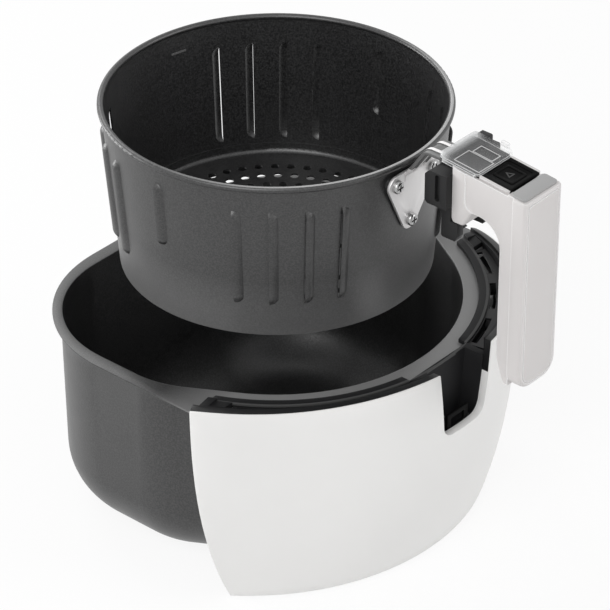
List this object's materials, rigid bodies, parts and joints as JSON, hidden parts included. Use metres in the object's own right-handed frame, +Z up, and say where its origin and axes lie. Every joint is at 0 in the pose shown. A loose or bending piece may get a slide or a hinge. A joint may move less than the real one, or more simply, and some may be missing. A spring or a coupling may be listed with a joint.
{
  "type": "air fryer drawer",
  "caption": "Drawer of a hot-air fryer: a coated pan with a curved front panel, and a round perforated basket that lifts out by a latching handle with a guarded release button.",
  "frame": {"origin": "on the table, at the pan's base, under the basket's axis", "axes": "+Z up along the basket's axis, handle and front panel towards -Y, +X to the right seen from behind the handle"},
  "size_m": [0.2658, 0.31, 0.2884],
  "materials": {
    "coated_steel": "satin non-stick coat with fine speckle",
    "white_plastic": "satin",
    "handle_plastic": "fine satin",
    "black_plastic": "satin",
    "steel_sheet": "satin",
    "screw_steel": "bright",
    "clear_plastic": "clear, polished",
    "grey_trim": "satin"
  },
  "bodies": {
    "pan": {"pan_bowl": "coated_steel", "front_panel": "white_plastic", "top_frame": "black_plastic", "catch_plate": "coated_steel", "frame_screws": "screw_steel", "panel_screws": "screw_steel"},
    "basket": {"basket_wall": "coated_steel", "basket_floor": "coated_steel", "handle_bracket": "steel_sheet", "bracket_screws": "screw_steel", "latch_yoke": "black_plastic", "handle_body": "handle_plastic", "handle_cover": "white_plastic", "handle_screws": "screw_steel", "cover_screws": "screw_steel", "guard_track": "black_plastic", "button_bezel": "black_plastic", "top_trim": "grey_trim", "latch_pin": "screw_steel", "latch_coil": "screw_steel"},
    "button": {"release_button": "black_plastic"},
    "guard": {"button_guard": "clear_plastic"},
    "latch": {"latch_hook": "black_plastic"}
  },
  "joints": [
    {"name": "basket_lift", "type": "slide", "parent": "pan", "child": "basket", "axis": [0, 0, 1], "range_m": [-0.1297, 0.03]},
    {"name": "button_press", "type": "slide", "parent": "basket", "child": "button", "axis": [0, 0.0976, -0.9952], "range_m": [0, 0.0028], "stiffness_N_per_m": 600},
    {"name": "latch_swing", "type": "hinge", "parent": "basket", "child": "latch", "pos_m": [0, -0.15, 0.265], "axis": [1, 0, 0], "range_deg": [0, 7.22], "deforming": ["latch_coil"]},
    {"name": "guard_slide", "type": "slide", "parent": "basket", "child": "guard", "axis": [0, -0.9952, -0.0976], "range_m": [0, 0.023]}
  ],
  "couplings": [
    {"joint": "latch_swing", "follows": "button_press", "rad_per_m": 45}
  ]
}
